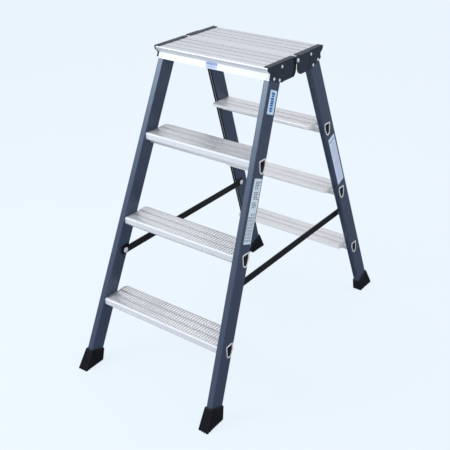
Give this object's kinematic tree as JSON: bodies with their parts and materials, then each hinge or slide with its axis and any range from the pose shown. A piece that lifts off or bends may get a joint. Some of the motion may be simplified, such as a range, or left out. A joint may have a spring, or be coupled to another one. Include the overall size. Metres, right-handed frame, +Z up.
{
  "type": "platform step ladder",
  "caption": "Folding step climbable from both sides: two leaning ladder frames with grooved treads, a split platform hinged in its middle, and flat spreader bars.",
  "frame": {"origin": "centre of the footprint, on the floor under the feet", "axes": "+Z up, -Y towards the front climbing side, +X to the right when facing the step from the front"},
  "size_m": [0.5042, 0.9916, 0.9418],
  "materials": {
    "stile_paint": "dark blue-grey powder coat on aluminium tube",
    "tread_aluminium": "mill finish extrusion, grooved",
    "platform_aluminium": "mill finish extrusion, ribbed",
    "apron_aluminium": "smooth bright strip",
    "label_film": null,
    "cheek_paint": "anthracite powder coat on steel plate",
    "foot_plastic": "moulded black, ribbed",
    "black_paint": "black paint on steel flat",
    "bright_steel": "zinc plated"
  },
  "bodies": {
    "front_frame": {"front_apron": "apron_aluminium", "front_apron_label": "label_film", "front_apron_screws": "bright_steel", "front_left_cheek": "cheek_paint", "front_left_cheek_rivets": "bright_steel", "front_left_foot": "foot_plastic", "front_left_stile": "stile_paint", "front_platform_panel": "platform_aluminium", "front_right_cheek": "cheek_paint", "front_right_cheek_rivets": "bright_steel", "front_right_foot": "foot_plastic", "front_right_size_label": "label_film", "front_right_stile": "stile_paint", "front_right_use_label": "label_film", "front_tread_1": "tread_aluminium", "front_tread_2": "tread_aluminium", "front_tread_3": "tread_aluminium", "left_catch_plate": "black_paint", "left_catch_rivets": "bright_steel", "left_hinge_pin": "bright_steel", "right_catch_plate": "black_paint", "right_catch_rivets": "bright_steel", "right_hinge_pin": "bright_steel"},
    "rear_frame": {"rear_apron": "apron_aluminium", "rear_apron_screws": "bright_steel", "rear_left_cheek": "cheek_paint", "rear_left_cheek_rivets": "bright_steel", "rear_left_foot": "foot_plastic", "rear_left_stile": "stile_paint", "rear_platform_panel": "platform_aluminium", "rear_right_cheek": "cheek_paint", "rear_right_cheek_rivets": "bright_steel", "rear_right_foot": "foot_plastic", "rear_right_stile": "stile_paint", "rear_right_use_label": "label_film", "rear_tread_1": "tread_aluminium", "rear_tread_2": "tread_aluminium", "rear_tread_3": "tread_aluminium", "left_spreader_pivot": "bright_steel", "left_spreader_spacer": "bright_steel", "right_spreader_pivot": "bright_steel", "right_spreader_spacer": "bright_steel"},
    "left_spreader": {"left_spreader_bar": "black_paint", "left_spreader_stud": "bright_steel"},
    "right_spreader": {"right_spreader_bar": "black_paint", "right_spreader_stud": "bright_steel"}
  },
  "joints": [
    {"name": "fold", "type": "hinge", "parent": "front_frame", "child": "rear_frame", "pos_m": [0, 0, 0.9295], "axis": [-1, 0, 0], "range_deg": [0, 42]},
    {"name": "left_spreader_pivot", "type": "hinge", "parent": "rear_frame", "child": "left_spreader", "pos_m": [-0.196, 0.29995, 0.3528], "axis": [1, 0, 0], "range_deg": [0, 12.6]},
    {"name": "right_spreader_pivot", "type": "hinge", "parent": "rear_frame", "child": "right_spreader", "pos_m": [0.196, 0.29995, 0.3528], "axis": [1, 0, 0], "range_deg": [0, 12.6]}
  ],
  "couplings": [
    {"joint": "left_spreader_pivot", "follows": "fold", "ratio": 0.3},
    {"joint": "right_spreader_pivot", "follows": "fold", "ratio": 0.3}
  ]
}
